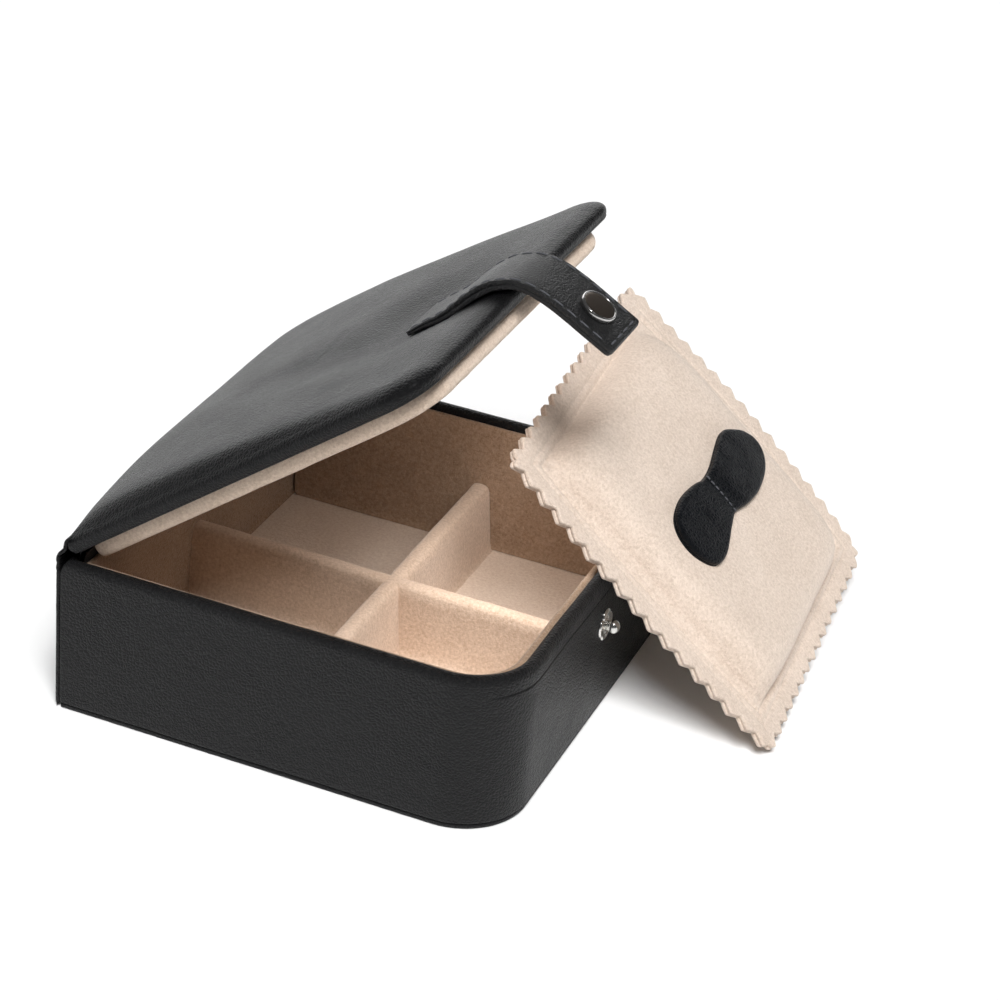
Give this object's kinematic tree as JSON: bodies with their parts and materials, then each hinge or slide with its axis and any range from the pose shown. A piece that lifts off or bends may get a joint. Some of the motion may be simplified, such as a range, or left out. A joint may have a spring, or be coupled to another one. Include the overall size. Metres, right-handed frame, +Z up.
{
  "type": "cufflink box",
  "caption": "Lidded leather cufflink box with suede compartments, a snap strap over the lid's edge and a loose padded suede cover piece.",
  "frame": {"origin": "centre of the box's underside, on the surface it stands on", "axes": "+X to the front, where the strap snaps; the hinge is at -X; +Z up"},
  "size_m": [0.16, 0.1542, 0.1138],
  "materials": {
    "black_leather": "fine pebbled grain, soft sheen",
    "strap_leather": "smooth matt leather with grey stitching",
    "suede": "napped beige microsuede",
    "greyboard": "pressed grey board",
    "wadding": "soft wadding",
    "nickel": "polished nickel",
    "snap_metal": "dark face with a bright bevelled rim",
    "thread": "grey waxed thread"
  },
  "bodies": {
    "base": {"base_sole": "black_leather", "floor_board": "greyboard", "wall_board": "greyboard", "wall_leather": "black_leather", "back_cover": "black_leather", "floor_lining": "suede", "wrap_lining": "suede", "back_lining": "suede", "divider_long": "suede", "divider_cross": "suede", "stud_flange": "nickel", "stud_ball": "nickel", "stud_washer": "nickel"},
    "spine": {"spine_leather": "black_leather", "spine_lining": "black_leather"},
    "lid": {"lid_leather": "black_leather", "lid_board": "greyboard", "lid_padding": "wadding", "lid_lining": "suede", "strap_anchor": "strap_leather"},
    "strap": {"strap_flap": "strap_leather", "strap_flap_lining": "strap_leather", "snap_socket": "nickel", "snap_cap": "snap_metal"},
    "insert": {"insert_back": "suede", "insert_top": "suede", "insert_board": "greyboard", "insert_filling": "wadding", "pull_tab": "strap_leather", "tab_stitch": "thread"}
  },
  "joints": [
    {"name": "lid_close", "type": "hinge", "parent": "base", "child": "spine", "pos_m": [-0.055, 0, 0.0411], "axis": [0, -1, 0], "range_deg": [-37.42, 0]},
    {"name": "lid_open", "type": "hinge", "parent": "spine", "child": "lid", "pos_m": [-0.055, 0, 0.0411], "axis": [0, -1, 0], "range_deg": [0, 65]},
    {"name": "strap_fold", "type": "hinge", "parent": "lid", "child": "strap", "pos_m": [0.03045, 0, 0.10432], "axis": [0, -1, 0], "range_deg": [-23, 12], "stiffness_Nm_per_rad": 0.03},
    {"name": "insert_slide", "type": "slide", "parent": "base", "child": "insert", "axis": [1, 0, 0], "range_m": [0, 0.12]}
  ],
  "couplings": [
    {"joint": "lid_close", "follows": "insert_slide", "rad_per_m": -5.4423}
  ]
}
